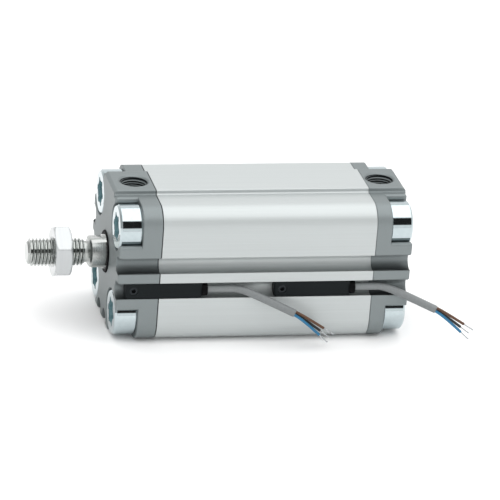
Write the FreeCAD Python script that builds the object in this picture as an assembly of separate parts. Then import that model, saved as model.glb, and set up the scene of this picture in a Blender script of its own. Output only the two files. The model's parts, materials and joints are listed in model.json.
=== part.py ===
import FreeCAD, Part
import math
import os

# A compact pneumatic cylinder: a square extruded tube between two end caps, a threaded
# piston rod, and two position sensors with short cables in the groove of the near side.
# Millimetres. X runs along the rod axis from the rod end to the rear, Y points away from the
# sensor side and Z points up to the air ports. The origin is on the rod axis, in the outer
# face of the front cap. The rod is modelled drawn in.

# Air space and travel
bore_diameter = 32.0
stroke = 60.0

# Outer section, the same for the tube and both caps. The cap screws stand on a square as wide
# as the bore, and the sides stand outside the screws.
screw_edge_distance = 9.0
corner_radius = 7.5
pad_half = 9.0
pad_rise = 1.6
pad_foot = 0.4
pad_edge_round = 0.4

# Lengths along the rod axis
front_cap_length = 15.0
rear_cap_length = 13.5
spigot_length = 2.6
piston_length = 9.0
bumper_rise = 0.7
end_gap = 0.2
cap_edge_round = 1.0
joint_chamfer = 0.35

# Sensor grooves: round pockets whose mouths leave a rail on the middle of each side
groove_radius = 3.3
groove_axis_depth = 1.6
rail_half = 1.8

# Cap screws, with a star socket and a mounting thread in each head
screw_head_diameter = 16.0
screw_head_inset = 0.1
screw_head_round = 0.7
screw_head_relief = 0.5
screw_shank_diameter = 9.6
screw_grip_in_tube = 14.0
screw_hole_spare = 2.0
star_root_diameter = 8.2
star_lobe_diameter = 2.2
star_depth = 3.4
mount_thread_hole_diameter = 5.0
mount_thread_depth = 15.0
notch_depth = 8.0
notch_gap = 0.35
notch_opening = 4.0

# Air ports
port_diameter = 9.73
port_depth = 9.0
port_mouth_chamfer = 0.6
front_port_inset = 8.5
rear_port_inset = 7.5
passage_diameter = 4.0

# Inside the caps
hub_wall = 1.6
spigot_wall = 2.8
pocket_depth = 5.6
rear_recess_spare = 2.2
tube_seal_groove_width = 1.6
tube_seal_groove_depth = 1.15
tube_seal_groove_inset = 0.5

# Rod guide and seals in the front cap, from its outer face inwards
wiper_width = 1.6
wiper_seat_depth = 3.2
wiper_rise = 0.4
wiper_lip = 0.7
bush_wall = 1.2
rod_seal_width = 3.0
rod_seal_length = 3.0
rod_seal_lip = 0.8
retaining_ring_thickness = 1.0
retaining_ring_groove_depth = 0.6
retaining_ring_width = 1.8
retaining_ring_gap = 6.0
retaining_ring_inset = 1.8
seal_to_ring_gap = 0.3

# Piston rod and lock nut. The thread is plain: at its crests where it is free, and at its pitch
# line where the nut holds it.
rod_diameter = 12.0
rod_thread_diameter = 10.0
rod_thread_engagement = 0.4
rod_thread_end = 28.0
rod_shoulder = 6.0
rod_flat_start = 1.2
rod_flat_width = 10.0
rod_flat_angle = 100.0
rod_neck_relief = 1.2
rod_neck_length = 2.6
rod_tip_chamfer = 0.9
rod_shoulder_chamfer = 0.5
nut_across_flats = 17.0
nut_thickness = 6.0
nut_inset = 12.9
nut_corner_angle = 27.0
nut_chamfer_angle = 30.0
nut_countersink = 0.4

# Piston
piston_bore_gap = 0.3
piston_stub_diameter = 8.0
magnet_length = 2.0
magnet_width = 5.9
guide_ring_width = 1.1
piston_seal_groove_width = 1.7
piston_seal_groove_inset = 0.8
piston_seal_groove_depth = 2.6
bumper_inner_margin = 0.6
bumper_outer_margin = 0.8
bumper_seat_depth = 1.0
piston_o_ring_width = 1.5
piston_o_ring_depth = 1.1
piston_nut_across_flats = 13.0
piston_nut_thickness = 5.0
piston_stub_spare = 0.8

# Position sensors
front_sensor_start = 3.0
rear_sensor_start = 55.9
sensor_length = 27.0
sensor_inset = 0.1
sensor_end_round = 0.9
grommet_diameter = 4.6
grommet_length = 2.0
set_screw_inset = 2.9
set_screw_diameter = 2.9
set_screw_sink = 0.25
set_screw_key = 1.5
set_screw_key_depth = 1.4
reed_diameter = 1.8
reed_length = 12.0
reed_inset = 12.0
reed_pocket_width = 2.2
reed_pocket_spare = 1.0

# Sensor cables, with three insulated wires and bare wire ends
cable_diameter = 2.8
wire_diameter = 1.0
wire_spread = 0.7
wire_lead = 2.6
bare_end_diameter = 0.5
bare_end_length = 4.4
arc_share = 0.45

# Clearances
running_gap = 0.05
seal_gap = 0.1
sensor_gap = 0.25
screw_hole_gap = 0.4

# Cable points, from where the cable leaves its sensor. Each wire leaves the jacket straight on,
# and its point, from the end of the jacket, is the end of its insulation.
cable_routes = {
    "front": [(0, 0, 0), (6.5, 0, 0), (11.6, 0.1, -0.1), (18.4, -3.0, -2.0), (30.6, -7.0, -6.9)],
    "rear": [(0, 0, 0), (6.0, 0, 0), (10.6, 0.1, -0.1), (17.2, -3.0, -1.9), (28.6, -7.0, -6.4)],
}
wire_ends = {
    "front": {"brown": (10.5, -1.2, -5.3), "black": (9.7, 0.6, -7.0), "blue": (9.2, -0.7, -8.0)},
    "rear": {"brown": (10.5, -0.9, -5.4), "black": (9.8, 0.7, -7.1), "blue": (9.7, -0.6, -8.5)},
}
wire_angles = {"brown": 90.0, "black": 210.0, "blue": 330.0}

# Places worked out from the values above
tube_length = stroke + piston_length + 2 * (bumper_rise + end_gap + spigot_length)
tube_start = front_cap_length
tube_end = tube_start + tube_length
body_end = tube_end + rear_cap_length
rear_stop = tube_end - spigot_length
piston_rear = rear_stop - end_gap - bumper_rise
piston_front = piston_rear - piston_length
half_length = (piston_length - magnet_length) / 2
magnet_start = piston_front + half_length
bore_radius = bore_diameter / 2
screw_offset = bore_radius
body_half = screw_offset + screw_edge_distance
pad_top = body_half + pad_rise
rod_radius = rod_diameter / 2
rod_hole_radius = rod_radius + running_gap
thread_radius = rod_thread_diameter / 2
engaged_radius = thread_radius - rod_thread_engagement
nut_end = -nut_inset
nut_start = nut_end - nut_thickness
wiper_seat_radius = rod_radius + wiper_width
bush_hole_radius = rod_radius + bush_wall
hub_hole_radius = rod_radius + rod_seal_width
hub_radius = hub_hole_radius + hub_wall
ring_end = front_cap_length + spigot_length - retaining_ring_inset
ring_start = ring_end - retaining_ring_thickness
seal_end = ring_start - seal_to_ring_gap
bush_end = seal_end - rod_seal_length
spigot_radius = bore_radius - running_gap
spigot_inner_radius = bore_radius - spigot_wall
screw_head_radius = screw_head_diameter / 2
screw_shank_radius = screw_shank_diameter / 2
magnet_end = magnet_start + magnet_length
magnet_outer = bore_radius - guide_ring_width
magnet_inner = magnet_outer - magnet_width
seal_root_radius = bore_radius - piston_seal_groove_depth
bumper_inner = hub_hole_radius - bumper_inner_margin
bumper_outer = hub_radius + bumper_outer_margin
groove_offset = rail_half + math.sqrt(groove_radius ** 2 - groove_axis_depth ** 2)
groove_height = body_half - groove_axis_depth
corners = [(-1, -1), (-1, 1), (1, -1), (1, 1)]
origin = FreeCAD.Vector(0, 0, 0)
along_x = FreeCAD.Vector(1, 0, 0)
along_y = FreeCAD.Vector(0, 1, 0)
along_z = FreeCAD.Vector(0, 0, 1)
overrun = 1.0
parts = {}


def rod_x(start, end, radius, y=0.0, z=0.0):
    return Part.makeCylinder(radius, end - start, FreeCAD.Vector(start, y, z), along_x)


def ring(start, end, inner_radius, outer_radius):
    inner = rod_x(start - overrun, end + overrun, inner_radius)
    return rod_x(start, end, outer_radius).cut(inner)


def lathe(profile):
    outline = [FreeCAD.Vector(x, 0, radius) for x, radius in profile]
    outline.append(outline[0])
    face = Part.Face(Part.makePolygon(outline))
    return face.revolve(origin, along_x, 360)


def box(x_range, y_range, z_range):
    low = FreeCAD.Vector(x_range[0], y_range[0], z_range[0])
    size = (x_range[1] - x_range[0], y_range[1] - y_range[0], z_range[1] - z_range[0])
    return Part.makeBox(*size, low)


def prism_x(section, start, end):
    points = [FreeCAD.Vector(start, y, z) for y, z in section]
    points.append(points[0])
    face = Part.Face(Part.makePolygon(points))
    return face.extrude(FreeCAD.Vector(end - start, 0, 0))


def hexagon(start, end, across_flats, corner_angle):
    corner_distance = across_flats / math.sqrt(3)
    section = []
    for side in range(6):
        angle = math.radians(corner_angle + 60 * side)
        section.append((-corner_distance * math.cos(angle), corner_distance * math.sin(angle)))
    return prism_x(section, start, end)


def edges_at_x(shape, x):
    return [edge for edge in shape.Edges if all(abs(point.X - x) < 1e-6 for point in edge.Vertexes)]


def edges_along_x(shape, lowest_z):
    found = []
    for edge in shape.Edges:
        first, last = edge.Vertexes[0].Point, edge.Vertexes[-1].Point
        level = abs(first.y - last.y) < 1e-6 and abs(first.z - last.z) < 1e-6
        if level and first.z > lowest_z:
            found.append(edge)
    return found


def turned_to_rear(shape):
    turned = shape.copy()
    turned.rotate(origin, along_z, 180)
    turned.translate(FreeCAD.Vector(body_end, 0, 0))
    return turned


# The outer section: a rounded square, with a raised pad along the top
def square_block(length):
    sides = (-body_half, body_half)
    block = box((0, length), sides, sides)
    return block.makeFillet(corner_radius, edges_along_x(block, -2 * body_half))


def pad_block(length):
    foot_half = pad_half + pad_foot
    foot_top = body_half + pad_foot
    section = [(foot_half, 0), (foot_half, body_half), (pad_half, foot_top), (pad_half, pad_top)]
    section += [(-y, z) for y, z in reversed(section)]
    block = prism_x(section, 0, length)
    return block.makeFillet(pad_edge_round, edges_along_x(block, foot_top + pad_edge_round))


# Slopes off the top edge of a pad at one of its ends
def pad_end_tool(x, inwards, size):
    side = pad_half + pad_foot + overrun
    outer = x - inwards * overrun
    corners_xz = [(outer, pad_top - size - overrun), (outer, pad_top + overrun),
                  (x + inwards * (size + overrun), pad_top + overrun)]
    points = [FreeCAD.Vector(point_x, -side, z) for point_x, z in corners_xz]
    points.append(points[0])
    return Part.Face(Part.makePolygon(points)).extrude(along_y * (2 * side))


def groove_tools(length):
    tools = []
    for side_angle in (0, 90, -90):
        for side in (-1, 1):
            tool = rod_x(-overrun, length + overrun, groove_radius, side * groove_offset, -groove_height)
            tool.rotate(origin, along_x, side_angle)
            tools.append(tool)
    return tools


# The extruded tube
def make_tube():
    blank = square_block(tube_length).fuse(pad_block(tube_length)).removeSplitter()
    tools = groove_tools(tube_length)
    tools.append(rod_x(-overrun, tube_length + overrun, bore_radius))
    hole_radius = screw_shank_radius + running_gap
    hole_depth = screw_grip_in_tube + screw_hole_spare
    for side_y, side_z in corners:
        y, z = side_y * screw_offset, side_z * screw_offset
        tools.append(rod_x(-overrun, hole_depth, hole_radius, y, z))
        tools.append(rod_x(tube_length - hole_depth, tube_length + overrun, hole_radius, y, z))
    tube = blank.cut(tools)
    tube.translate(FreeCAD.Vector(tube_start, 0, 0))
    return tube


# What is cut away round a cap screw's head, for the corner where Y and Z are positive. The
# lips of the opening are rounded along their outer edges and at the cap's face.
def notch_tools():
    lip = screw_offset - notch_opening
    outside = body_half + overrun
    size = cap_edge_round
    edge_span = (-overrun, notch_depth)
    edge = box(edge_span, (lip - size, outside), (body_half - size, outside))
    edge = edge.cut(rod_x(*edge_span, size, lip - size, body_half - size))
    end_centre = FreeCAD.Vector(size, lip - size, screw_offset)
    end = box((-overrun, size), (lip - size, outside), (screw_offset, outside))
    end = end.cut(Part.makeCylinder(size, outside - screw_offset, end_centre, along_z))
    tools = [box(edge_span, (lip, outside), (lip, outside))]
    for tool in (edge, end):
        tools.append(tool)
        tools.append(tool.mirror(origin, along_y - along_z))
    return tools


# An end cap with its outer face at X = 0 and its spigot towards +X
def make_cap(length, port_inset, bores):
    block = square_block(length)
    block = block.makeFillet(cap_edge_round, edges_at_x(block, 0))
    block = block.makeChamfer(joint_chamfer, edges_at_x(block, length))
    spigot_end = length + spigot_length
    groove_start = length + tube_seal_groove_inset
    groove_end = groove_start + tube_seal_groove_width
    blank = block.fuse([pad_block(length), rod_x(length, spigot_end, spigot_radius)]).removeSplitter()
    tools = groove_tools(length)
    tools.append(pad_end_tool(0, 1, cap_edge_round))
    tools.append(pad_end_tool(length, -1, joint_chamfer))
    for side_y, side_z in corners:
        y, z = side_y * screw_offset, side_z * screw_offset
        tools.append(rod_x(-overrun, notch_depth, screw_head_radius + notch_gap, y, z))
        tools.append(rod_x(-overrun, length + overrun, screw_shank_radius + screw_hole_gap, y, z))
        quarter = {(1, 1): 0, (-1, 1): 90, (-1, -1): 180, (1, -1): 270}[(side_y, side_z)]
        for tool in notch_tools():
            tool.rotate(origin, along_x, quarter)
            tools.append(tool)
    pocket_radius = (hub_radius + spigot_inner_radius) / 2
    port_top = FreeCAD.Vector(port_inset, 0, pad_top)
    port_radius = port_diameter / 2
    tools.append(Part.makeCylinder(port_radius, port_depth, port_top, -along_z))
    tools.append(Part.makeCone(port_radius + port_mouth_chamfer, port_radius, port_mouth_chamfer,
                               port_top, -along_z))
    tools.append(Part.makeCylinder(passage_diameter / 2, pad_top - pocket_radius, port_top, -along_z))
    axial_radius = (spigot_inner_radius - hub_radius) / 2
    tools.append(rod_x(port_inset, length, axial_radius, 0, pocket_radius))
    tools.append(ring(spigot_end - pocket_depth, spigot_end + overrun, hub_radius, spigot_inner_radius))
    groove_root = spigot_radius - tube_seal_groove_depth
    tools.append(ring(groove_start, groove_end, groove_root, bore_radius + overrun))
    return blank.cut(tools + bores)


def make_front_cap():
    cap_end = front_cap_length + spigot_length + overrun
    bores = [
        rod_x(-overrun, wiper_seat_depth, wiper_seat_radius),
        rod_x(0, bush_end, bush_hole_radius),
        rod_x(bush_end, cap_end, hub_hole_radius),
        rod_x(ring_start, ring_end, hub_hole_radius + retaining_ring_groove_depth),
    ]
    return make_cap(front_cap_length, front_port_inset, bores)


def make_rear_cap():
    spigot_end = rear_cap_length + spigot_length
    stub_reach = piston_nut_thickness + piston_stub_spare - bumper_rise - end_gap
    recess_floor = spigot_end - stub_reach - rear_recess_spare
    bores = [rod_x(recess_floor, spigot_end + overrun, hub_hole_radius)]
    return turned_to_rear(make_cap(rear_cap_length, rear_port_inset, bores))


# Four cap screws, each with a star socket that ends in a threaded hole
def make_cap_screws(cap_length):
    face = screw_head_inset
    head_end = notch_depth - screw_head_relief
    seat_radius = screw_head_radius - screw_head_relief
    tip = cap_length + screw_grip_in_tube
    blank = lathe([
        (face, 0), (face, screw_head_radius - screw_head_round),
        (face + screw_head_round, screw_head_radius), (head_end, screw_head_radius),
        (head_end, seat_radius), (notch_depth, seat_radius),
        (notch_depth, screw_shank_radius), (tip, screw_shank_radius), (tip, 0),
    ])
    star_end = face + star_depth
    star_radius = star_root_diameter / 2
    tools = [rod_x(face - overrun, star_end, star_radius)]
    for lobe in range(6):
        angle = math.radians(60 * lobe)
        tools.append(rod_x(face - overrun, star_end, star_lobe_diameter / 2,
                           star_radius * math.cos(angle), star_radius * math.sin(angle)))
    tools.append(rod_x(face, face + mount_thread_depth, mount_thread_hole_diameter / 2))
    screw = blank.cut(tools)
    screws = []
    for side_y, side_z in corners:
        placed = screw.copy()
        placed.translate(FreeCAD.Vector(0, side_y * screw_offset, side_z * screw_offset))
        screws.append(placed)
    return Part.makeCompound(screws)


# A ring seal lying in the groove of a cap's spigot
def make_tube_seal(cap_length):
    start = cap_length + tube_seal_groove_inset
    end = start + tube_seal_groove_width - seal_gap
    inner = spigot_radius - tube_seal_groove_depth + running_gap
    return ring(start, end, inner, bore_radius - running_gap)


parts["tube_profile"] = make_tube()
parts["front_cap"] = make_front_cap()
parts["rear_cap"] = make_rear_cap()
parts["front_cap_screws"] = make_cap_screws(front_cap_length)
parts["rear_cap_screws"] = turned_to_rear(make_cap_screws(rear_cap_length))
parts["front_tube_seal"] = make_tube_seal(front_cap_length)
parts["rear_tube_seal"] = turned_to_rear(make_tube_seal(rear_cap_length))

# The rod's guide and seals, from the outer face of the front cap inwards
wiper_radius = wiper_seat_radius - running_gap
parts["rod_wiper"] = lathe([
    (-wiper_rise, rod_hole_radius + wiper_lip / 2), (wiper_lip - wiper_rise, rod_hole_radius),
    (wiper_seat_depth, rod_hole_radius), (wiper_seat_depth, wiper_radius),
    (0, wiper_radius), (-wiper_rise, wiper_radius - wiper_rise / 2),
])
parts["rod_bush"] = ring(wiper_seat_depth, bush_end, rod_hole_radius, bush_hole_radius - running_gap)
parts["rod_seal"] = lathe([
    (bush_end, rod_hole_radius + rod_seal_lip), (bush_end, hub_hole_radius - running_gap),
    (seal_end, hub_hole_radius - running_gap), (seal_end - rod_seal_lip, rod_hole_radius + rod_seal_lip),
    (seal_end, rod_hole_radius), (seal_end - 2 * rod_seal_lip, rod_hole_radius),
])
ring_outer = hub_hole_radius + retaining_ring_groove_depth - running_gap
open_ring = ring(ring_start, ring_end, ring_outer - retaining_ring_width, ring_outer)
ring_slot = box((ring_start - overrun, ring_end + overrun),
                (-retaining_ring_gap / 2, retaining_ring_gap / 2), (0, 2 * ring_outer))
parts["seal_retaining_ring"] = open_ring.cut(ring_slot)


# The rod: thread, relief neck, wrench flats, ground shaft, and a stub through the piston
def make_rod():
    stub_end = piston_rear + piston_nut_thickness + piston_stub_spare
    neck_radius = thread_radius - rod_neck_relief
    neck_end = -rod_shoulder - rod_neck_length
    blank = lathe([
        (-rod_thread_end, 0), (-rod_thread_end, thread_radius - rod_tip_chamfer),
        (-rod_thread_end + rod_tip_chamfer, thread_radius), (nut_start, thread_radius),
        (nut_start, engaged_radius), (nut_end, engaged_radius),
        (nut_end, thread_radius), (neck_end, thread_radius),
        (neck_end, neck_radius), (-rod_shoulder, neck_radius),
        (-rod_shoulder, rod_radius - rod_shoulder_chamfer),
        (-rod_shoulder + rod_shoulder_chamfer, rod_radius), (piston_front, rod_radius),
        (piston_front, piston_stub_diameter / 2), (stub_end, piston_stub_diameter / 2), (stub_end, 0),
    ])
    tools = []
    for side in (0, 180):
        tool = box((-rod_shoulder - overrun, -rod_flat_start), (-rod_radius, rod_radius),
                   (rod_flat_width / 2, rod_diameter))
        tool.rotate(origin, along_x, 90 - rod_flat_angle + side)
        tools.append(tool)
    neck_and_thread = rod_x(-rod_thread_end, -rod_shoulder, thread_radius)
    return blank.cut(tools).fuse(blank.common(neck_and_thread)).removeSplitter()


def make_nut(start, thickness, across_flats, hole_radius, corner_angle):
    end = start + thickness
    corner_distance = across_flats / math.sqrt(3)
    flat_distance = across_flats / 2
    slope = (corner_distance - flat_distance) * math.tan(math.radians(nut_chamfer_angle))
    round_off = lathe([(start, 0), (start, flat_distance), (start + slope, corner_distance),
                       (end - slope, corner_distance), (end, flat_distance), (end, 0)])
    blank = hexagon(start, end, across_flats, corner_angle).common(round_off)
    return blank.cut(rod_x(start - overrun, end + overrun, hole_radius))


parts["piston_rod"] = make_rod()
nut_hole = engaged_radius + running_gap
nut_mouth = thread_radius + nut_countersink
countersinks = []
for face_x, inwards in ((nut_start, along_x), (nut_end, -along_x)):
    face_centre = FreeCAD.Vector(face_x, 0, 0)
    countersinks.append(Part.makeCone(nut_mouth, nut_hole, nut_mouth - nut_hole, face_centre, inwards))
lock_nut = make_nut(nut_start, nut_thickness, nut_across_flats, nut_hole, nut_corner_angle)
parts["rod_nut"] = lock_nut.cut(countersinks)


# The piston: two halves clamp the magnet, and each holds a seal and a bumper
def seal_groove(outer_face, direction):
    near = outer_face + direction * piston_seal_groove_inset
    far = near + direction * piston_seal_groove_width
    return min(near, far), max(near, far)


def bumper_span(outer_face, direction):
    outer = outer_face - direction * bumper_rise
    inner = outer_face + direction * bumper_seat_depth
    return min(outer, inner), max(outer, inner)


def make_piston_half(start, end, outer_face, direction):
    groove_start, groove_end = seal_groove(outer_face, direction)
    seat_start, seat_end = bumper_span(outer_face, direction)
    tools = [
        rod_x(start - overrun, end + overrun, piston_stub_diameter / 2 + running_gap),
        ring(groove_start, groove_end, seal_root_radius, bore_radius),
        ring(seat_start, seat_end, bumper_inner, bumper_outer),
    ]
    return rod_x(start, end, bore_radius - piston_bore_gap).cut(tools)


def make_piston_seal(outer_face, direction):
    start, end = seal_groove(outer_face, direction)
    inner = seal_root_radius + seal_gap
    return ring(start + seal_gap, end - seal_gap, inner, bore_radius - running_gap)


def make_bumper(outer_face, direction):
    start, end = bumper_span(outer_face, direction)
    return ring(start, end, bumper_inner + running_gap, bumper_outer - running_gap)


hub_inside_magnet = rod_x(magnet_start, magnet_end, magnet_inner - running_gap)
stub_hole = rod_x(magnet_start - overrun, magnet_end + overrun, piston_stub_diameter / 2 + running_gap)
o_ring_end = piston_front + piston_o_ring_width
o_ring_outer = piston_stub_diameter / 2 + running_gap + piston_o_ring_depth
front_half = make_piston_half(piston_front, magnet_start, piston_front, 1)
front_half = front_half.fuse(hub_inside_magnet.cut(stub_hole)).removeSplitter()
parts["front_piston_half"] = front_half.cut(rod_x(piston_front, o_ring_end, o_ring_outer))
parts["rear_piston_half"] = make_piston_half(magnet_end, piston_rear, piston_rear, -1)
parts["piston_magnet"] = ring(magnet_start, magnet_end, magnet_inner, magnet_outer)
parts["piston_guide_ring"] = ring(magnet_start + seal_gap, magnet_end - seal_gap,
                                  magnet_outer + seal_gap, bore_radius - running_gap)
parts["front_piston_seal"] = make_piston_seal(piston_front, 1)
parts["rear_piston_seal"] = make_piston_seal(piston_rear, -1)
parts["front_bumper"] = make_bumper(piston_front, 1)
parts["rear_bumper"] = make_bumper(piston_rear, -1)
parts["piston_o_ring"] = ring(piston_front, o_ring_end - running_gap,
                              piston_stub_diameter / 2 + running_gap, o_ring_outer - running_gap)
parts["piston_nut"] = make_nut(piston_rear, piston_nut_thickness, piston_nut_across_flats,
                               piston_stub_diameter / 2 + running_gap, 0)


# A sensor lies in the lower groove of the near side, with its flat face level with that side
groove_y = -groove_height
groove_z = -groove_offset
groove_floor = groove_y + groove_radius
sensor_face = -body_half + sensor_inset
set_screw_radius = set_screw_diameter / 2


def make_sensor_housing(start):
    end = start + sensor_length
    radius = groove_radius - sensor_gap
    in_groove = ((start, end), (sensor_face, 0), (groove_z - radius, groove_z + radius))
    housing = rod_x(start, end, radius, groove_y, groove_z).common(box(*in_groove))
    housing = housing.makeFillet(sensor_end_round, edges_at_x(housing, start))
    screw_hole = Part.makeCylinder(set_screw_radius + running_gap, 2 * groove_radius,
                                   FreeCAD.Vector(start + set_screw_inset, -body_half, groove_z), along_y)
    pocket_half = reed_pocket_width / 2
    pocket_start = start + reed_inset
    pocket = box((pocket_start, pocket_start + reed_length + reed_pocket_spare),
                 (groove_y - pocket_half, groove_floor),
                 (groove_z - pocket_half, groove_z + pocket_half))
    return housing.cut([screw_hole, pocket])


def make_set_screw(start):
    outer = sensor_face + set_screw_sink
    inner = groove_y + math.sqrt(groove_radius ** 2 - set_screw_radius ** 2) - sensor_gap
    x = start + set_screw_inset
    screw = rod_x(outer, inner, set_screw_radius)
    screw = screw.cut(hexagon(outer, outer + set_screw_key_depth, set_screw_key, 0))
    screw.rotate(origin, along_z, 90)
    screw.translate(FreeCAD.Vector(x, 0, groove_z))
    return screw


def make_reed(start):
    reed_start = start + reed_inset
    reed_radius = reed_diameter / 2
    lying = groove_y - reed_pocket_width / 2 + reed_radius
    return rod_x(reed_start, reed_start + reed_length, reed_radius, lying, groove_z)


# A cord's path: straight runs joined by arcs as large as the runs allow
def cord_path(name, points):
    edges = []
    radii = []
    start = points[0]
    for before, corner, after in zip(points, points[1:], points[2:]):
        run_in = corner - before
        run_out = after - corner
        turn = run_in.getAngle(run_out)
        reach = arc_share * min(run_in.Length, run_out.Length)
        radius = reach / math.tan(turn / 2)
        run_in.normalize()
        run_out.normalize()
        inwards = run_out - run_in
        inwards.normalize()
        middle = corner + inwards * (radius / math.cos(turn / 2) - radius)
        edges.append(Part.LineSegment(start, corner - run_in * reach).toShape())
        edges.append(Part.Arc(corner - run_in * reach, middle, corner + run_out * reach).toShape())
        start = corner + run_out * reach
        radii.append(round(radius, 1))
    edges.append(Part.LineSegment(start, points[-1]).toShape())
    print(name, "bend radii", radii)
    return Part.Wire(edges)


def cord_tube(name, points, diameter):
    path = cord_path(name, points)
    section = Part.Wire(Part.makeCircle(diameter / 2, points[0], points[1] - points[0]))
    tube = path.makePipeShell([section], True, False)
    plain_volume = math.pi * diameter ** 2 / 4 * path.Length
    print(name, "length", round(path.Length, 2), "volume ratio", round(tube.Volume / plain_volume, 4))
    return tube


def last_direction(points):
    direction = points[-1] - points[-2]
    direction.normalize()
    return direction


def make_sensor(side, start):
    name = side + "_sensor_"
    parts[name + "housing"] = make_sensor_housing(start)
    parts[name + "set_screw"] = make_set_screw(start)
    parts[name + "reed"] = make_reed(start)
    sensor_end = start + sensor_length
    cable_start = sensor_end + grommet_length
    parts[name + "grommet"] = rod_x(sensor_end, cable_start, grommet_diameter / 2, groove_y, groove_z)
    exit_point = FreeCAD.Vector(cable_start, groove_y, groove_z)
    cable_points = [exit_point + FreeCAD.Vector(*point) for point in cable_routes[side]]
    parts[name + "cable"] = cord_tube(name + "cable", cable_points, cable_diameter)
    jacket_end = cable_points[-1]
    forward = last_direction(cable_points)
    upward = along_z - forward * forward.dot(along_z)
    upward.normalize()
    sideways = forward.cross(upward)
    bare_ends = []
    for colour, end in wire_ends[side].items():
        angle = math.radians(wire_angles[colour])
        offset = (sideways * math.cos(angle) + upward * math.sin(angle)) * wire_spread
        wire_start = jacket_end + offset
        points = [wire_start, wire_start + forward * wire_lead, jacket_end + FreeCAD.Vector(*end)]
        wire_name = name + colour + "_wire"
        parts[wire_name] = cord_tube(wire_name, points, wire_diameter)
        bare_ends.append(Part.makeCylinder(bare_end_diameter / 2, bare_end_length,
                                           points[-1], last_direction(points)))
    parts[name + "bare_ends"] = Part.makeCompound(bare_ends)


make_sensor("front", front_sensor_start)
make_sensor("rear", rear_sensor_start)

os.makedirs("parts", exist_ok=True)
for node, shape in parts.items():
    shape.exportStep("parts/" + node + ".step")
print(len(parts), "parts, body length", round(body_end, 2))
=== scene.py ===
import json
import math

import bmesh
import bpy
from mathutils import Matrix, Vector


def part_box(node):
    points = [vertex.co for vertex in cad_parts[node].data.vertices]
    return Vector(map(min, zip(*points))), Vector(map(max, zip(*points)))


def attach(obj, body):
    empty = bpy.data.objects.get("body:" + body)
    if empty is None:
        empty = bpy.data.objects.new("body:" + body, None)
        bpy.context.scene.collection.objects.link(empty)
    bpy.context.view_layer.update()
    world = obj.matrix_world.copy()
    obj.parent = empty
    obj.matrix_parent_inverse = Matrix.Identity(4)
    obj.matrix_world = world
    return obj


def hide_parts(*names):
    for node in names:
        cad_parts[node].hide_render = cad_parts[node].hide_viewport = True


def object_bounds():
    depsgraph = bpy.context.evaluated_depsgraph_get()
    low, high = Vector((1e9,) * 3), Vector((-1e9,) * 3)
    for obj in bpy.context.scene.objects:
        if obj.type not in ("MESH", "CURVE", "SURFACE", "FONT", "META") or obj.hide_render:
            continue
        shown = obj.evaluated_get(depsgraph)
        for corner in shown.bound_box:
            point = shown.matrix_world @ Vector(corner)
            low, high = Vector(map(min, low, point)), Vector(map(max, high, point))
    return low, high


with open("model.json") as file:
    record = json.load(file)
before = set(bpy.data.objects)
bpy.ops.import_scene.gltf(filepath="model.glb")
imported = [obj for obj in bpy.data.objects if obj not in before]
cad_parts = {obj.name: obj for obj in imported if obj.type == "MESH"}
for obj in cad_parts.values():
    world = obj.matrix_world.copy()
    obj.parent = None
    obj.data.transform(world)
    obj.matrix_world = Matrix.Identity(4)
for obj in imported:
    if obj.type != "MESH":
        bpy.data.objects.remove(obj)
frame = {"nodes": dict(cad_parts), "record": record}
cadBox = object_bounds()
nodes = frame["nodes"]
ports = [mount for mount in frame["record"]["mounts"] if mount["name"].endswith("_port")]
scene = bpy.context.scene
mm = 0.001

# The camera: a long lens in front of the sensor side, a little towards the rod, rolled as in the photograph
cameraSet = {"aim": (52.16, -0.2, -0.31), "azimuth": -13.97, "elevation": 22.83, "roll": 4.69,
             "distance": 1415.7, "lens": 288.0, "sensor": 36.0, "farthest": 50.0}
azimuth, elevation = math.radians(cameraSet["azimuth"]), math.radians(cameraSet["elevation"])
level = math.cos(elevation)
back = Vector((math.sin(azimuth) * level, -math.cos(azimuth) * level, math.sin(elevation)))
roll = Matrix.Rotation(math.radians(cameraSet["roll"]), 3, "Z")
turn = back.to_track_quat("Z", "Y").to_matrix() @ roll
camera = bpy.data.objects.new("camera", bpy.data.cameras.new("camera"))
camera.data.lens = cameraSet["lens"]
camera.data.sensor_width = cameraSet["sensor"]
camera.data.clip_end = cameraSet["farthest"]
stand = (Vector(cameraSet["aim"]) + back * cameraSet["distance"]) * mm
camera.matrix_world = Matrix.Translation(stand) @ turn.to_4x4()
scene.collection.objects.link(camera)
scene.camera = camera
print("camera:", round(stand.length, 3), "m from the front face")


# sRGB hex to linear light
def linear(code):
    channels = [int(code[i:i + 2], 16) / 255 for i in (1, 3, 5)]
    return [*[c / 12.92 if c <= 0.04045 else ((c + 0.055) / 1.055) ** 2.4 for c in channels], 1.0]


# Adds a node, sets its sockets or properties, and links other sockets into it
def addNode(tree, kind, settings=None, links=None):
    node = tree.nodes.new(kind)
    for key, value in (settings or {}).items():
        if isinstance(key, int) or key in node.inputs:
            node.inputs[key].default_value = value
        else:
            setattr(node, key, value)
    for key, socket in (links or {}).items():
        tree.links.new(socket, node.inputs[key])
    return node


# A new material with its shader's plain values, and the place in the frame that its patterns read
def newMaterial(name, shaderValues):
    material = bpy.data.materials.new(name)
    material.use_nodes = True
    tree = material.node_tree
    shader = tree.nodes["Principled BSDF"]
    for key, value in shaderValues.items():
        shader.inputs[key].default_value = value
    place = addNode(tree, "ShaderNodeTexCoord").outputs["Object"]
    return material, tree, shader, place


# Noise with grains of the given sizes in millimetres along X, Y and Z
def grainNoise(tree, place, sizes, detail):
    scale = [1 / (size * mm) for size in sizes]
    fitted = addNode(tree, "ShaderNodeMapping", {"Scale": scale}, {"Vector": place})
    noise = addNode(tree, "ShaderNodeTexNoise", {"Scale": 1.0, "Detail": detail},
                    {"Vector": fitted.outputs[0]})
    return noise.outputs["Fac"]


# One pattern sets a surface's colour, gloss and relief; edges are softened by a radius in millimetres
surfaceSet = {"bumpStrength": 0.5, "edgeSamples": 6}


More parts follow.
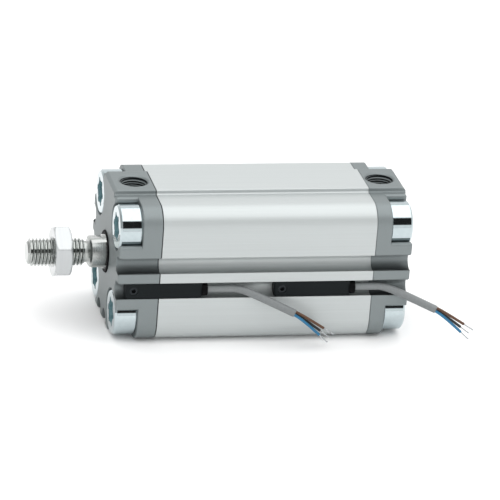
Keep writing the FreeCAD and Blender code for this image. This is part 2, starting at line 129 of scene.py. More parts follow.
def dress(tree, shader, pattern, look):
    deep, pale = linear(look["deep"]), linear(look["pale"])
    tone = addNode(tree, "ShaderNodeMix", {"data_type": "RGBA", 6: deep, 7: pale}, {0: pattern})
    gloss = addNode(tree, "ShaderNodeMapRange", {"To Min": look["smooth"], "To Max": look["rough"]},
                    {"Value": pattern})
    edges = addNode(tree, "ShaderNodeBevel", {"Radius": look["edge"] * mm,
                                              "samples": surfaceSet["edgeSamples"]})
    relief = addNode(tree, "ShaderNodeBump", {"Strength": surfaceSet["bumpStrength"],
                                              "Distance": look["relief"] * mm},
                     {"Height": pattern, "Normal": edges.outputs[0]})
    tree.links.new(tone.outputs[2], shader.inputs["Base Color"])
    tree.links.new(gloss.outputs[0], shader.inputs["Roughness"])
    tree.links.new(relief.outputs[0], shader.inputs["Normal"])
    return {"tone": tone, "gloss": gloss}


# Painted shade: little light reaches the lower side of the sensor grooves, so the colour is darkened there:
# heights and depths in millimetres
grooves = {"lower": -7.99, "upper": 1.39, "depthMiddle": 22.35, "depthHalf": 2.3, "reach": 8.1}


def shadeGrooves(tree, place, colour, look):
    bottom = grooves["lower"] * mm
    spot = addNode(tree, "ShaderNodeSeparateXYZ", links={0: place})
    side = addNode(tree, "ShaderNodeMath", {"operation": "ABSOLUTE"}, {0: spot.outputs[1]})
    within = addNode(tree, "ShaderNodeMath", {
        "operation": "COMPARE", 1: grooves["depthMiddle"] * mm, 2: grooves["depthHalf"] * mm},
        {0: side.outputs[0]})
    nearGrooves = addNode(tree, "ShaderNodeMath", {
        "operation": "COMPARE", 1: 0.0, 2: grooves["reach"] * mm}, {0: spot.outputs[2]})
    # Both grooves of a side share one shade, because the height starts again at the upper groove
    height = addNode(tree, "ShaderNodeMath", {
        "operation": "WRAP", 1: grooves["upper"] * mm, 2: bottom}, {0: spot.outputs[2]})
    low = addNode(tree, "ShaderNodeMapRange", {
        "From Min": bottom, "From Max": bottom + look["shadeFade"] * mm,
        "To Min": look["shadeStrength"], "To Max": 0.0}, {"Value": height.outputs[0]})
    inGroove = addNode(tree, "ShaderNodeMath", {"operation": "MULTIPLY"},
                       {0: within.outputs[0], 1: nearGrooves.outputs[0]})
    dark = addNode(tree, "ShaderNodeMath", {"operation": "MULTIPLY"},
                   {0: inGroove.outputs[0], 1: low.outputs[0]})
    return addNode(tree, "ShaderNodeMix", {"data_type": "RGBA", 7: linear(look["shade"])},
                   {0: dark.outputs[0], 6: colour.outputs[2]})


# Aluminium, extruded, etched and anodised: a pale satin grey with faint die lines, drawn wider than real
def anodisedExtrusion():
    look = {"deep": "#B3B8B8", "pale": "#BFC4C4", "smooth": 0.36, "rough": 0.43, "relief": 0.002,
            "edge": 0.25, "line": (60.0, 0.3, 0.3), "lineDetail": 3.0,
            "shade": "#242828", "shadeStrength": 0.5, "shadeFade": 1.2}
    material, tree, shader, place = newMaterial("aluminium_extruded_anodised", {"Metallic": 0.45})
    lines = grainNoise(tree, place, look["line"], look["lineDetail"])
    made = dress(tree, shader, lines, look)
    # Painted shade darkens the lower side of each groove
    shaded = shadeGrooves(tree, place, made["tone"], look)
    tree.links.new(shaded.outputs[2], shader.inputs["Base Color"])
    return material


# Aluminium, die cast and bead blasted: a flat mid grey with soft edges and a dry grain, coarser than real
def blastedCasting():
    look = {"deep": "#787F80", "pale": "#888F90", "smooth": 0.32, "rough": 0.44, "relief": 0.02,
            "edge": 0.6, "grain": (0.25, 0.25, 0.25), "grainDetail": 2.0,
            "grazing": "#D0D0D0", "seamShade": "#34393A", "seamShadeWidth": 0.36,
            "shade": "#101212", "shadeStrength": 0.85, "shadeFade": 2.2,
            "root": "#24282A", "crestRadius": 4.4, "rootRadius": 4.8, "wallRadius": 5.0, "mouthDepth": 0.6}
    material, tree, shader, place = newMaterial("aluminium_cast_blasted", {
        "Metallic": 0.4, "Specular IOR Level": 0.2, "Specular Tint": linear(look["grazing"])})
    grain = grainNoise(tree, place, look["grain"], look["grainDetail"])
    made = dress(tree, shader, grain, look)
    # Painted shade darkens the lower side of each groove
    shaded = shadeGrooves(tree, place, made["tone"], look)
    spot = addNode(tree, "ShaderNodeSeparateXYZ", links={0: place})
    # Painted shade in the gap of the joint with the tube: a fine dark line on the front cap
    seamShade = addNode(tree, "ShaderNodeMath", {
        "operation": "COMPARE", 1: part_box("tube_profile")[0].x, 2: look["seamShadeWidth"] * mm},
        {0: spot.outputs[0]})
    shaded = addNode(tree, "ShaderNodeMix", {"data_type": "RGBA", 7: linear(look["seamShade"])},
                     {0: seamShade.outputs[0], 6: shaded.outputs[2]})
    # Painted shade: little light reaches the roots of the port threads, so their colour is darkened below
    # the mouth of each port
    below = addNode(tree, "ShaderNodeMath", {
        "operation": "LESS_THAN", 1: cadBox[1].z - look["mouthDepth"] * mm}, {0: spot.outputs[2]})
    for port in ports:
        fromPort = addNode(tree, "ShaderNodeVectorMath", {"operation": "SUBTRACT", 1: port["pos_m"]},
                           {0: place})
        flat = addNode(tree, "ShaderNodeVectorMath", {"operation": "MULTIPLY", 1: (1, 1, 0)},
                       {0: fromPort.outputs[0]})
        radius = addNode(tree, "ShaderNodeVectorMath", {"operation": "LENGTH"}, {0: flat.outputs[0]})
        root = addNode(tree, "ShaderNodeMapRange", {
            "From Min": look["crestRadius"] * mm, "From Max": look["rootRadius"] * mm},
            {"Value": radius.outputs["Value"]})
        within = addNode(tree, "ShaderNodeMath", {"operation": "LESS_THAN", 1: look["wallRadius"] * mm},
                         {0: radius.outputs["Value"]})
        inPort = addNode(tree, "ShaderNodeMath", {"operation": "MULTIPLY"},
                         {0: below.outputs[0], 1: within.outputs[0]})
        dark = addNode(tree, "ShaderNodeMath", {"operation": "MULTIPLY"},
                       {0: inPort.outputs[0], 1: root.outputs[0]})
        shaded = addNode(tree, "ShaderNodeMix", {"data_type": "RGBA", 7: linear(look["root"])},
                         {0: dark.outputs[0], 6: shaded.outputs[2]})
    tree.links.new(shaded.outputs[2], shader.inputs["Base Color"])
    return material


# Steel, turned and zinc plated: a cold, nearly white mirror, with a blue-green colour painted inside the
# star sockets as their shade and reflection
def zincPlatedScrew():
    look = {"deep": "#AFBBBE", "pale": "#C0CACD", "smooth": 0.04, "rough": 0.1, "relief": 0.003,
            "edge": 0.15, "wave": (1.4, 1.4, 1.4), "waveDetail": 2.0, "metal": 1.0, "pitch": 32.0,
            "socket": "#86A6AC", "socketMetal": 0.2, "socketRadius": 5.35, "socketStart": 0.25}
    material, tree, shader, place = newMaterial("steel_turned_zinc_plated", {})
    waves = grainNoise(tree, place, look["wave"], look["waveDetail"])
    made = dress(tree, shader, waves, look)
    # All eight screws are folded onto one by their distances from the middle of the cylinder
    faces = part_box("front_cap_screws")[0].x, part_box("rear_cap_screws")[1].x
    middle = (sum(faces) / 2, 0, 0)
    reach = (faces[1] - faces[0]) / 2 - look["socketStart"] * mm
    axis = (0, look["pitch"] / 2 * mm, look["pitch"] / 2 * mm)
    centred = addNode(tree, "ShaderNodeVectorMath", {"operation": "SUBTRACT", 1: middle}, {0: place})
    folded = addNode(tree, "ShaderNodeVectorMath", {"operation": "ABSOLUTE"}, {0: centred.outputs[0]})
    fromAxis = addNode(tree, "ShaderNodeVectorMath", {"operation": "SUBTRACT", 1: axis},
                       {0: folded.outputs[0]})
    across = addNode(tree, "ShaderNodeVectorMath", {"operation": "MULTIPLY", 1: (0, 1, 1)},
                     {0: fromAxis.outputs[0]})
    radius = addNode(tree, "ShaderNodeVectorMath", {"operation": "LENGTH"}, {0: across.outputs[0]})
    depth = addNode(tree, "ShaderNodeSeparateXYZ", links={0: folded.outputs[0]})
    inside = addNode(tree, "ShaderNodeMath", {"operation": "LESS_THAN", 1: look["socketRadius"] * mm},
                     {0: radius.outputs["Value"]})
    below = addNode(tree, "ShaderNodeMath", {"operation": "LESS_THAN", 1: reach}, {0: depth.outputs[0]})
    socket = addNode(tree, "ShaderNodeMath", {"operation": "MULTIPLY"},
                     {0: inside.outputs[0], 1: below.outputs[0]})
    # Painted shade and reflection: inside the star sockets the colour is a flat blue-green, with less metal
    tint = addNode(tree, "ShaderNodeMix", {"data_type": "RGBA", 7: linear(look["socket"])},
                   {0: socket.outputs[0], 6: made["tone"].outputs[2]})
    tree.links.new(tint.outputs[2], shader.inputs["Base Color"])
    metal = addNode(tree, "ShaderNodeMapRange", {"To Min": look["metal"], "To Max": look["socketMetal"]},
                    {"Value": socket.outputs[0]})
    tree.links.new(metal.outputs[0], shader.inputs["Metallic"])
    return material


# Metal cut on a lathe: tool rings across the X axis, drawn wider than a real feed so that they show
ringSet = {"across": 30.0, "detail": 3.0}  # a ring changes slowly along itself, over 30 mm


def turnedMetal(name, look):
    material, tree, shader, place = newMaterial(name, {"Metallic": look.get("metal", 1.0)})
    rings = grainNoise(tree, place, (look["ring"], ringSet["across"], ringSet["across"]), ringSet["detail"])
    dress(tree, shader, rings, look)
    return material


# Where the rod's thread ends and its plain part begins, in millimetres
threadEnd = -7.9


# Stainless steel, turned: neutral grey, a ground shaft with fine rings and a glossier cut thread
def groundRod():
    look = {"deep": "#A5A8A6", "pale": "#B6B9B7", "smooth": 0.05, "rough": 0.13, "relief": 0.002,
            "edge": 0.1, "ring": 0.2, "shaftRougher": 0.17}
    material, tree, shader, place = newMaterial("stainless_steel_ground", {"Metallic": 1.0})
    rings = grainNoise(tree, place, (look["ring"], ringSet["across"], ringSet["across"]), ringSet["detail"])
    made = dress(tree, shader, rings, look)
    spot = addNode(tree, "ShaderNodeSeparateXYZ", links={0: place})
    onShaft = addNode(tree, "ShaderNodeMath", {"operation": "GREATER_THAN", 1: threadEnd * mm},
                      {0: spot.outputs[0]})
    rougher = addNode(tree, "ShaderNodeMath", {"operation": "MULTIPLY_ADD", 1: look["shaftRougher"]},
                      {0: onShaft.outputs[0], 2: made["gloss"].outputs[0]})
    tree.links.new(rougher.outputs[0], shader.inputs["Roughness"])
    return material


# Moulded or extruded plastic and rubber: an even colour with a fine skin texture
skinDetail = 2.0


def mouldedPlastic(name, look):
    material, tree, shader, place = newMaterial(name, {"Specular IOR Level": look.get("specular", 0.5)})
    skin = grainNoise(tree, place, [look["grain"]] * 3, skinDetail)
    dress(tree, shader, skin, look)
    return material


# Glass, drawn into a tube: clear, with a faint green cast and slow waves
def drawnGlass():
    look = {"deep": "#CFE3D8", "pale": "#DDF0E6", "smooth": 0.02, "rough": 0.06, "relief": 0.002,
            "edge": 0.1, "wave": (3.0, 0.8, 0.8), "waveDetail": 1.0}
    material, tree, shader, place = newMaterial("glass_drawn", {"Transmission Weight": 0.9, "IOR": 1.5})
    waves = grainNoise(tree, place, look["wave"], look["waveDetail"])
    dress(tree, shader, waves, look)
    return material


finishes = {
    "anodised_tube": anodisedExtrusion(),
    "cap_alloy": blastedCasting(),
    "zinc_screw": zincPlatedScrew(),
    # Zinc plated steel hexagon: nearly white, with broad soft edges that show as grey lines
    "zinc_nut": turnedMetal("steel_hexagon_zinc_plated", {
        "deep": "#B6B9BA", "pale": "#C1C4C5", "smooth": 0.08, "rough": 0.13,
        "relief": 0.001, "edge": 0.8, "ring": 0.8, "metal": 0.7}),
    "rod_steel": groundRod(),
    # Spring steel, blued: dark with a slight sheen
    "spring_steel": turnedMetal("spring_steel_blued", {
        "deep": "#3A3F48", "pale": "#4C525C", "smooth": 0.25, "rough": 0.4,
        "relief": 0.003, "edge": 0.08, "ring": 0.3}),
    # Steel, black oxide: nearly black, with a dull shine at its edges
    "set_screw_steel": turnedMetal("steel_black_oxide", {
        "deep": "#26292B", "pale": "#383B3E", "smooth": 0.3, "rough": 0.45,
        "relief": 0.004, "edge": 0.1, "ring": 0.25}),
    # Bronze, sintered: matt gold-brown with open pores
    "bush_bronze": turnedMetal("bronze_sintered", {
        "deep": "#8A6A3C", "pale": "#A98550", "smooth": 0.35, "rough": 0.55,
        "relief": 0.01, "edge": 0.1, "ring": 0.25}),
    # Aluminium, turned: bright with plain tool rings
    "piston_alloy": turnedMetal("aluminium_turned", {
        "deep": "#B9BCBE", "pale": "#CDD0D2", "smooth": 0.2, "rough": 0.35,
        "relief": 0.006, "edge": 0.1, "ring": 0.25}),
    # Nitrile rubber, moulded: black and soft, with almost no shine
    "black_rubber": mouldedPlastic("nitrile_rubber_moulded", {
        "deep": "#050506", "pale": "#0B0B0C", "smooth": 0.5, "rough": 0.7,
        "relief": 0.01, "edge": 0.1, "grain": 0.3, "specular": 0.06}),
    # Polyurethane, cast: dark blue-grey and waxy
    "bumper_elastomer": mouldedPlastic("polyurethane_cast", {
        "deep": "#27384A", "pale": "#33475B", "smooth": 0.35, "rough": 0.5,
        "relief": 0.006, "edge": 0.1, "grain": 0.6}),
    # Plastic bonded ferrite: dark brown-grey with a mineral speckle
    "magnet_compound": mouldedPlastic("ferrite_plastic_bonded", {
        "deep": "#24211F", "pale": "#3A3633", "smooth": 0.45, "rough": 0.65,
        "relief": 0.01, "edge": 0.1, "grain": 0.12}),
    # Acetal, machined: ivory with a silky surface
    "guide_plastic": mouldedPlastic("acetal_machined", {
        "deep": "#D6D1C0", "pale": "#E4E0D2", "smooth": 0.3, "rough": 0.45,
        "relief": 0.006, "edge": 0.1, "grain": 0.3}),
    # Polyamide, moulded: charcoal with an eroded mould texture, drawn coarser than real
    "sensor_plastic": mouldedPlastic("polyamide_moulded", {
        "deep": "#121516", "pale": "#1D2224", "smooth": 0.38, "rough": 0.56,
        "relief": 0.012, "edge": 0.12, "grain": 0.2, "specular": 0.08}),
    "reed_glass": drawnGlass(),
    # Soft PVC, extruded: mid grey and matt, with slow changes of tone along the jacket
    "cable_jacket": mouldedPlastic("pvc_jacket_extruded", {
        "deep": "#6E7273", "pale": "#7F8384", "smooth": 0.4, "rough": 0.52,
        "relief": 0.006, "edge": 0.1, "grain": 0.8}),
    # Copper strands, dipped in tin: silvery with soft lumps
    "tinned_copper": turnedMetal("copper_tinned", {
        "deep": "#9C9FA1", "pale": "#CED1D3", "smooth": 0.2, "rough": 0.34,
        "relief": 0.006, "edge": 0.03, "ring": 0.5}),
}
# PVC insulation, extruded: glossier than the jacket
wireColours = {"brown": ("#3C2415", "#644126"), "black": ("#101114", "#1B1D21"),
               "blue": ("#0B5880", "#1C749C")}
wireSkin = {"smooth": 0.28, "rough": 0.38, "relief": 0.004, "edge": 0.05, "grain": 0.6}
for colour, (deep, pale) in wireColours.items():
    look = {"deep": deep, "pale": pale, **wireSkin}
    finishes[colour + "_insulation"] = mouldedPlastic("pvc_" + colour + "_extruded", look)
for part in frame["record"]["subparts"]:
    shown = nodes[part["node"]].data.materials
    shown.clear()
    shown.append(finishes[part["material_slot"]])
print("materials:", len(finishes), "finishes on", len(nodes), "nodes")

# A round cord on a smooth line through the frame; the points are its control points, in millimetres
cordMesh = {"order": 3, "along": 14, "round": 6}  # order of the curve, steps along and round it


def cordCurve(name, points, diameter, slotName, body, node):
    curve = bpy.data.curves.new(name, "CURVE")
    curve.dimensions = "3D"
    line = curve.splines.new("NURBS")
    line.points.add(len(points) - 1)
    for target, point in zip(line.points, points):
        target.co = (*(point * mm), 1.0)
    line.order_u = cordMesh["order"]
    line.use_endpoint_u = True
    line.resolution_u = cordMesh["along"]
    curve.bevel_depth = diameter / 2 * mm
    curve.bevel_resolution = cordMesh["round"]
    curve.use_fill_caps = True
    curve.materials.append(finishes[slotName])
    cord = bpy.data.objects.new(name, curve)
    scene.collection.objects.link(cord)
    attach(cord, body)
    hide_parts(node)
    return cord


# Joins placed meshes into one piece that rides on a body; edges sharper than the angle stay sharp
sharpAngle = 32.0


def makePiece(name, body, slotName, placed):
    form = bmesh.new()
    for mesh, place in placed:
        shape = mesh.copy()
        shape.transform(place)
        form.from_mesh(shape)
        bpy.data.meshes.remove(shape)
    mesh = bpy.data.meshes.new(name)
    form.to_mesh(mesh)
    form.free()
    mesh.materials.append(finishes[slotName])
    mesh.polygons.foreach_set("material_index", [0] * len(mesh.polygons))
    mesh.polygons.foreach_set("use_smooth", [True] * len(mesh.polygons))
    mesh.set_sharp_from_angle(angle=math.radians(sharpAngle))
    piece = bpy.data.objects.new(name, mesh)
    scene.collection.objects.link(piece)
    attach(piece, body)
    return piece


# A Geometry Nodes tree with named inputs
def newTree(name, inputs):
    tree = bpy.data.node_groups.new(name, "GeometryNodeTree")
    for key, kind in inputs.items():
        tree.interface.new_socket(key, in_out="INPUT", socket_type="NodeSocket" + kind)
    tree.interface.new_socket("Geometry", in_out="OUTPUT", socket_type="NodeSocketGeometry")
    return tree, addNode(tree, "NodeGroupInput").outputs


# Ends a tree with plain geometry of one material
def closeTree(tree, geometry, material):
    plain = addNode(tree, "GeometryNodeRealizeInstances", links={0: geometry.outputs[0]})
    finished = addNode(tree, "GeometryNodeSetMaterial", links={0: plain.outputs[0], "Material": material})
    addNode(tree, "NodeGroupOutput", links={0: finished.outputs[0]})


# Runs a tree with the given inputs and gives back a plain mesh
def meshFrom(tree, values):
    carrier = bpy.data.objects.new(tree.name, bpy.data.meshes.new(tree.name))
    scene.collection.objects.link(carrier)
    modifier = carrier.modifiers.new("shape", "NODES")
    modifier.node_group = tree
    for socket in tree.interface.items_tree:
        if socket.in_out == "INPUT":
            modifier[socket.identifier] = values[socket.name]
    evaluated = carrier.evaluated_get(bpy.context.evaluated_depsgraph_get())
    result = bpy.data.meshes.new_from_object(evaluated)
    bpy.data.objects.remove(carrier)
    return result


# One bare wire end along +Z: tinned strands twisted round a straight one
strandMesh = {"round": 8, "along": 24}  # steps round a strand, and along each turn of it


def strandTree():
    tree, sizes = newTree("bare wire end", {
        "Length": "Float", "Lay Radius": "Float", "Strand Radius": "Float", "Turns": "Float",
        "Strands": "Int", "Material": "Material"})
    section = addNode(tree, "GeometryNodeCurvePrimitiveCircle", {"Resolution": strandMesh["round"]},
                      {"Radius": sizes["Strand Radius"]})
    helix = addNode(tree, "GeometryNodeCurveSpiral", {"Resolution": strandMesh["along"]}, {
        "Rotations": sizes["Turns"], "Start Radius": sizes["Lay Radius"],
        "End Radius": sizes["Lay Radius"], "Height": sizes["Length"]})
    strand = addNode(tree, "GeometryNodeCurveToMesh", {"Fill Caps": True},
                     {"Curve": helix.outputs[0], "Profile Curve": section.outputs[0]})
    top = addNode(tree, "ShaderNodeCombineXYZ", links={2: sizes["Length"]})
    middle = addNode(tree, "GeometryNodeCurvePrimitiveLine", links={"End": top.outputs[0]})
    core = addNode(tree, "GeometryNodeCurveToMesh", {"Fill Caps": True},
                   {"Curve": middle.outputs[0], "Profile Curve": section.outputs[0]})
    starts = addNode(tree, "GeometryNodePoints", links={"Count": sizes["Strands"]})
    index = addNode(tree, "GeometryNodeInputIndex")
    step = addNode(tree, "ShaderNodeMath", {"operation": "DIVIDE", 0: math.tau}, {1: sizes["Strands"]})
    angle = addNode(tree, "ShaderNodeMath", {"operation": "MULTIPLY"},
                    {0: step.outputs[0], 1: index.outputs[0]})
    turned = addNode(tree, "ShaderNodeCombineXYZ", links={2: angle.outputs[0]})
    ring = addNode(tree, "GeometryNodeInstanceOnPoints", links={
        "Points": starts.outputs[0], "Instance": strand.outputs[0], "Rotation": turned.outputs[0]})
    whole = addNode(tree, "GeometryNodeJoinGeometry")
    tree.links.new(ring.outputs[0], whole.inputs[0])
    tree.links.new(core.outputs[0], whole.inputs[0])
    closeTree(tree, whole, sizes["Material"])
    return tree


# The two sensor cables, in millimetres: where each leaves its sensor, and from there the points of its
# route; each wire's end is measured from the end of the jacket
cableSizes = {"cable": 2.8, "wire": 1.0, "spread": 0.7, "lead": 2.6,
              "bareLength": 4.4, "bareRadius": 0.25, "strands": 6, "twist": 0.8}
wireAngles = {"brown": 90.0, "black": 210.0, "blue": 330.0}
cables = {
    "front": {
        "exit": (32.0, -23.4, -4.686),
        "route": [(0, 0, 0), (6.5, 0, 0), (11.6, 0.1, -0.1), (18.4, -3.0, -2.0), (30.6, -7.0, -6.9)],
        "wires": {"brown": (10.5, -1.2, -5.3), "black": (9.7, 0.6, -7.0), "blue": (9.2, -0.7, -8.0)},
    },
    "rear": {
        "exit": (84.9, -23.4, -4.686),
        "route": [(0, 0, 0), (6.0, 0, 0), (10.6, 0.1, -0.1), (17.2, -3.0, -1.9), (28.6, -7.0, -6.4)],
        "wires": {"brown": (10.5, -0.9, -5.4), "black": (9.8, 0.7, -7.1), "blue": (9.7, -0.6, -8.5)},
    },
}
strandRadius = cableSizes["bareRadius"] / 3  # three strands lie side by side across a bare end
bareEnd = meshFrom(strandTree(), {
    "Length": cableSizes["bareLength"] * mm, "Lay Radius": 2 * strandRadius * mm,
    "Strand Radius": strandRadius * mm, "Turns": cableSizes["twist"], "Strands": cableSizes["strands"],
    "Material": finishes["tinned_copper"]})


def makeCable(side, plan):
    body, name = side + "_sensor", side + "_sensor_"
    start = Vector(plan["exit"])
    points = [start + Vector(point) for point in plan["route"]]
    cable = cordCurve(name + "jacket", points, cableSizes["cable"], "cable_jacket", body, name + "cable")
    jacketEnd = points[-1]
    forward = (points[-1] - points[-2]).normalized()
    upward = (Vector((0, 0, 1)) - forward * forward.z).normalized()
    sideways = forward.cross(upward)
    onCable, bare = [], []
    for colour, end in plan["wires"].items():
        angle = math.radians(wireAngles[colour])
        outward = sideways * math.cos(angle) + upward * math.sin(angle)
        wireStart = jacketEnd + outward * cableSizes["spread"]
        wireEnd = jacketEnd + Vector(end)
        leadEnd = wireStart + forward * cableSizes["lead"]
        wire = cordCurve(name + colour + "_lead", [wireStart, leadEnd, wireEnd], cableSizes["wire"],
                         colour + "_insulation", body, name + colour + "_wire")
        onCable.append(wire)
        pointing = (wireEnd - leadEnd).to_track_quat("Z", "Y").to_matrix().to_4x4()
        bare.append((bareEnd, Matrix.Translation(wireEnd * mm) @ pointing))
    strands = makePiece(name + "strands", body, "tinned_copper", bare)
    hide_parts(name + "bare_ends")
    # The cable's middle line is taken as a list of points
    line = cable.data.copy()
    line.bevel_depth = 0.0
    probe = bpy.data.objects.new("probe", line)
    path = [vertex.co for vertex in bpy.data.meshes.new_from_object(probe).vertices]
    bpy.data.objects.remove(probe)


for side, plan in cables.items():
    makeCable(side, plan)


# A helical ridge along +Z that fades into its wall at both ends
def ridgeTree():
    tree, sizes = newTree("thread ridge", {
        "Radius": "Float", "Turns": "Float", "Pitch": "Float", "Base Width": "Float",
        "Crest Width": "Float", "Height": "Float", "Crest Angle": "Float", "Run Out": "Float",
        "End Size": "Float", "Steps": "Int", "Material": "Material"})
    rise = addNode(tree, "ShaderNodeMath", {"operation": "MULTIPLY"},
                   {0: sizes["Turns"], 1: sizes["Pitch"]})
    helix = addNode(tree, "GeometryNodeCurveSpiral", links={
        "Resolution": sizes["Steps"], "Rotations": sizes["Turns"], "Start Radius": sizes["Radius"],
        "End Radius": sizes["Radius"], "Height": rise.outputs[0]})
    upright = addNode(tree, "GeometryNodeSetCurveNormal", {"mode": "Z_UP"}, {"Curve": helix.outputs[0]})
    section = addNode(tree, "GeometryNodeCurvePrimitiveQuadrilateral", {
        "mode": "TRAPEZOID", "Offset": 0.0}, {
        "Bottom Width": sizes["Base Width"], "Top Width": sizes["Crest Width"], "Height": sizes["Height"]})
    half = addNode(tree, "ShaderNodeMath", {"operation": "MULTIPLY", 1: 0.5}, {0: sizes["Height"]})
    lift = addNode(tree, "ShaderNodeCombineXYZ", links={1: half.outputs[0]})
    based = addNode(tree, "GeometryNodeTransform", links={
        "Geometry": section.outputs[0], "Translation": lift.outputs[0]})
    tilt = addNode(tree, "ShaderNodeCombineXYZ", links={2: sizes["Crest Angle"]})
    facing = addNode(tree, "GeometryNodeTransform", links={
        "Geometry": based.outputs[0], "Rotation": tilt.outputs[0]})
    along = addNode(tree, "GeometryNodeSplineParameter")
    # Runs from 0 at either end to 0.5 in the middle
    fromEnd = addNode(tree, "ShaderNodeMath", {"operation": "PINGPONG", 1: 0.5},
                      {0: along.outputs["Factor"]})
    fade = addNode(tree, "ShaderNodeMapRange", {"To Max": 1.0}, {
        "Value": fromEnd.outputs[0], "From Max": sizes["Run Out"], "To Min": sizes["End Size"]})
    ridge = addNode(tree, "GeometryNodeCurveToMesh", {"Fill Caps": True}, {
        "Curve": upright.outputs[0], "Profile Curve": facing.outputs[0], "Scale": fade.outputs[0]})
    closeTree(tree, ridge, sizes["Material"])
    return tree


ridge = ridgeTree()
ridgeSet = {"steps": 56, "endSize": 0.05}  # steps in each turn, share of the ridge left at its ends


# A thread ridge as a mesh along +Z, with sizes in millimetres
def threadMesh(look, length, slotName):
    turns = length / look["pitch"]
    return meshFrom(ridge, {
        "Radius": look["wall"] * mm, "Turns": turns, "Pitch": look["pitch"] * mm,
        "Base Width": look["base"] * mm, "Crest Width": look["crest"] * mm, "Height": look["height"] * mm,
        "Crest Angle": look["crestAngle"], "Run Out": look["runOut"] / turns,
        "End Size": ridgeSet["endSize"], "Steps": ridgeSet["steps"], "Material": finishes[slotName]})


# A closed turned body along X from points (x, radius) in millimetres, with a flat face at each end
def turnedMesh(name, profile, steps):
    form = bmesh.new()
    angles = [math.tau * i / steps for i in range(steps)]
    rings = []
    for x, radius in profile:
        corners = [(x * mm, radius * mm * math.cos(a), radius * mm * math.sin(a)) for a in angles]
        rings.append([form.verts.new(corner) for corner in corners])
    for near, far in zip(rings, rings[1:]):
        for i in range(steps):
            form.faces.new((near[i], near[i - 1], far[i - 1], far[i]))
    form.faces.new(rings[0])
    form.faces.new(list(reversed(rings[-1])))
    bmesh.ops.recalc_face_normals(form, faces=form.faces)
    mesh = bpy.data.meshes.new(name)
    form.to_mesh(mesh)
    form.free()
    return mesh


# The rod: its shaft and flats as in the frame, and a cut thread in place of the plain one
rodThread = {"wall": 4.2, "pitch": 1.25, "base": 1.02, "crest": 0.18, "height": 0.8,
             "crestAngle": math.pi / 2, "runOut": 0.6, "leadIn": 0.35, "root": 4.23, "tipChamfer": 0.6,
             "coreSteps": 72, "cutAt": -8.59, "weld": 0.001, "cutTolerance": 0.0001}


def makeRod():
    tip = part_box("piston_rod")[0].x / mm
    form = bmesh.new()
    form.from_mesh(nodes["piston_rod"].data)
    bmesh.ops.remove_doubles(form, verts=form.verts, dist=rodThread["weld"] * mm)
    cut = bmesh.ops.bisect_plane(
        form, geom=[*form.verts, *form.edges, *form.faces], dist=rodThread["cutTolerance"] * mm,
        plane_co=(rodThread["cutAt"] * mm, 0, 0), plane_no=(-1, 0, 0), clear_outer=True)
    rim = [edge for edge in cut["geom_cut"] if isinstance(edge, bmesh.types.BMEdge)]
    bmesh.ops.holes_fill(form, edges=rim)
    bmesh.ops.recalc_face_normals(form, faces=form.faces)
    shaft = bpy.data.meshes.new("shaft")
    form.to_mesh(shaft)
    form.free()
    root, chamfer = rodThread["root"], rodThread["tipChamfer"]
    profile = [(tip, root - chamfer), (tip + chamfer, root), (threadEnd, root)]
    core = turnedMesh("core", profile, rodThread["coreSteps"])
    still = Matrix.Identity(4)
    rod = makePiece("rod_shaft", "rod", "rod_steel", [(shaft, still), (core, still)])
    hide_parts("piston_rod")
    start = tip + rodThread["leadIn"]
    cutThread = threadMesh(rodThread, threadEnd - start, "rod_steel")
    lying = Matrix.Translation((start * mm, 0, 0)) @ Matrix.Rotation(math.pi / 2, 4, "Y")
    makePiece("rod_thread", "rod", "rod_steel", [(cutThread, lying)])


makeRod()

# The air ports: a fine pipe thread standing in from the wall of each hole
portThread = {"wall": 4.9, "pitch": 0.907, "base": 0.85, "crest": 0.14, "height": 0.6,
              "crestAngle": -math.pi / 2, "runOut": 0.5, "start": 17.8, "length": 8.1}
portMesh = threadMesh(portThread, portThread["length"], "cap_alloy")
for port in ports:
    spot = Vector((port["pos_m"][0], port["pos_m"][1], portThread["start"] * mm))
    makePiece(port["name"] + "_thread", "barrel", "cap_alloy", [(portMesh, Matrix.Translation(spot))])
print("threads: rod and ports")

# The studio: a white floor under a bright surround that is dimmer on the rod's side, a soft box
# overhead, and a dark upright strip beside the camera that the bright metal reflects; the strip is
# given in degrees, and the dimmer side by how far a direction points along X
studio = {"surround": 1.14, "leftDim": 0.5, "leftFrom": -0.9, "leftTo": -0.25,
          "dark": 0.02, "darkFrom": 13.0, "darkTo": 50.0, "darkAside": 13.0, "darkWidth": 13.0, "fade": 2.0,
          "boxPower": 8.0, "boxSize": 1.6, "boxPlace": (0.05, -0.08, 1.0),
          "floor": "#FAFAFA", "floorSize": 30.0, "floorRough": 0.9, "floorSpecular": 0.1}


# How far a direction points up or aside at an angle in degrees
def sine(angle):
    return math.sin(math.radians(angle))


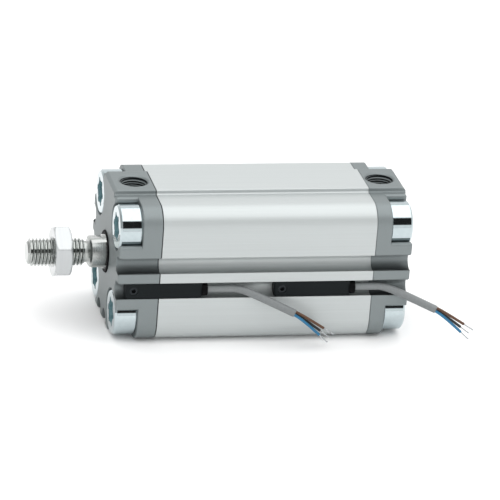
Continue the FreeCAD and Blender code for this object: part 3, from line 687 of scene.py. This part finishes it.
def makeSurround():
    world = bpy.data.worlds.new("studio")
    scene.world = world
    world.use_nodes = True
    tree = world.node_tree
    direction = addNode(tree, "ShaderNodeTexCoord").outputs["Generated"]
    parts = addNode(tree, "ShaderNodeSeparateXYZ", links={0: direction})
    low, high, fade = studio["darkFrom"], studio["darkTo"], studio["fade"]
    half, soft = sine(studio["darkWidth"] / 2), sine(fade)
    # Each edge of the strip fades over a few degrees, from bright to fully dark
    above = addNode(tree, "ShaderNodeMapRange", {
        "interpolation_type": "SMOOTHSTEP", "From Min": sine(low - fade), "From Max": sine(low + fade)},
        {"Value": parts.outputs[2]})
    below = addNode(tree, "ShaderNodeMapRange", {
        "interpolation_type": "SMOOTHSTEP", "From Min": sine(high + fade), "From Max": sine(high - fade)},
        {"Value": parts.outputs[2]})
    across = addNode(tree, "ShaderNodeMath", {"operation": "SUBTRACT", 1: sine(studio["darkAside"])},
                     {0: parts.outputs[0]})
    apart = addNode(tree, "ShaderNodeMath", {"operation": "ABSOLUTE"}, {0: across.outputs[0]})
    strip = addNode(tree, "ShaderNodeMapRange", {
        "interpolation_type": "SMOOTHSTEP", "From Min": half + soft, "From Max": half - soft},
        {"Value": apart.outputs[0]})
    front = addNode(tree, "ShaderNodeMath", {"operation": "LESS_THAN", 1: 0.0}, {0: parts.outputs[1]})
    near = addNode(tree, "ShaderNodeMath", {"operation": "MULTIPLY"},
                   {0: strip.outputs[0], 1: front.outputs[0]})
    band = addNode(tree, "ShaderNodeMath", {"operation": "MULTIPLY"},
                   {0: above.outputs[0], 1: below.outputs[0]})
    inStrip = addNode(tree, "ShaderNodeMath", {"operation": "MULTIPLY"},
                      {0: band.outputs[0], 1: near.outputs[0]})
    bright = addNode(tree, "ShaderNodeMapRange", {"To Min": studio["surround"], "To Max": studio["dark"]},
                     {"Value": inStrip.outputs[0]})
    left = addNode(tree, "ShaderNodeMapRange", {
        "From Min": studio["leftFrom"], "From Max": studio["leftTo"],
        "To Min": studio["leftDim"], "To Max": 1.0}, {"Value": parts.outputs[0]})
    dimmed = addNode(tree, "ShaderNodeMath", {"operation": "MULTIPLY"},
                     {0: bright.outputs[0], 1: left.outputs[0]})
    background = tree.nodes["Background"]
    tree.links.new(dimmed.outputs[0], background.inputs["Strength"])
    background.inputs["Color"].default_value = (1, 1, 1, 1)


# Paper, white and uncoated: an even, dull floor
def makeFloor():
    half, height = studio["floorSize"] / 2, cadBox[0].z
    corners = [(-half, -half, height), (half, -half, height), (half, half, height), (-half, half, height)]
    mesh = bpy.data.meshes.new("floor")
    mesh.from_pydata(corners, [], [(0, 1, 2, 3)])
    paper = newMaterial("paper_white_sweep", {
        "Base Color": linear(studio["floor"]), "Roughness": studio["floorRough"],
        "Specular IOR Level": studio["floorSpecular"]})[0]
    mesh.materials.append(paper)
    floor = bpy.data.objects.new("floor", mesh)
    scene.collection.objects.link(floor)


makeSurround()
makeFloor()
softBox = bpy.data.lights.new("soft_box", "AREA")
softBox.energy = studio["boxPower"]
softBox.size = studio["boxSize"]
overhead = bpy.data.objects.new("soft_box", softBox)
overhead.location = studio["boxPlace"]
overhead.visible_camera = False
scene.collection.objects.link(overhead)
scene.view_settings.view_transform = "Standard"
print("studio ready")
